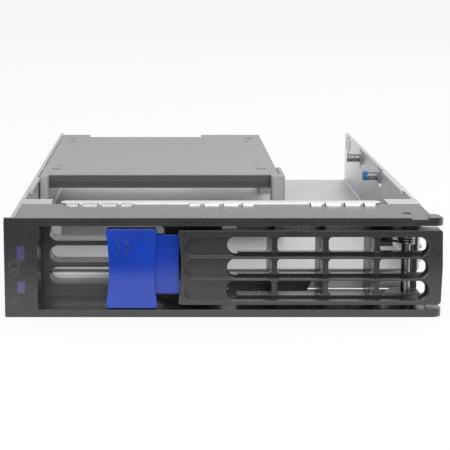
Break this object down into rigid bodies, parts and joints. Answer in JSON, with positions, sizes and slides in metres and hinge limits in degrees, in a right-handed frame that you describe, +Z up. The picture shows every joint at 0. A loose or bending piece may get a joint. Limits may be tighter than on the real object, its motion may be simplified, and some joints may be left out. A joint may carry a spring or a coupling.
{
  "type": "hot swap drive caddy",
  "caption": "Drive caddy with a black grille bezel, a swing lever, a blue slide latch and a folded steel tray that carries a grey adapter for a small drive.",
  "frame": {"origin": "middle of the caddy's length and width, at the level of the bezel's underside", "axes": "+Y from the bezel to the tray's open rear end, +X to the right seen from the front, +Z up as it lies on a table with the tray open upwards"},
  "size_m": [0.1072, 0.1818, 0.025],
  "materials": {
    "black_plastic": "fine texture, satin",
    "blue_plastic": "satin",
    "grey_plastic": "fine texture, matt",
    "violet_plastic": "milky, half clear",
    "plated_steel": "zinc plated, satin",
    "spring_steel": "bright rolled",
    "screw_steel": "zinc plated",
    "steel_pin": "ground"
  },
  "bodies": {
    "carrier": {"bezel": "black_plastic", "hinge_pin": "steel_pin", "lever_spring": "spring_steel", "latch_spring": "spring_steel", "light_pipe_lower": "violet_plastic", "light_pipe_upper": "violet_plastic", "tray": "plated_steel", "shield_strip": "spring_steel", "drive_adapter": "grey_plastic", "adapter_screw_front_left": "screw_steel", "adapter_screw_front_right": "screw_steel", "adapter_screw_rear": "screw_steel", "drive_screw_front": "screw_steel", "drive_screw_rear": "screw_steel", "bezel_screw_left_lower": "screw_steel", "bezel_screw_left_upper": "screw_steel", "bezel_screw_right_lower": "screw_steel", "bezel_screw_right_upper": "screw_steel"},
    "lever": {"lever": "black_plastic"},
    "latch": {"latch": "blue_plastic"}
  },
  "joints": [
    {"name": "lever_swing", "type": "hinge", "parent": "carrier", "child": "lever", "pos_m": [0.04575, -0.08175, 0.01235], "axis": [0, 0, 1], "range_deg": [0, 60]},
    {"name": "latch_slide", "type": "slide", "parent": "carrier", "child": "latch", "axis": [1, 0, 0], "range_m": [0, 0.0045], "stiffness_N_per_m": 250, "springref_m": -0.003, "deforming": ["latch_spring"]}
  ]
}
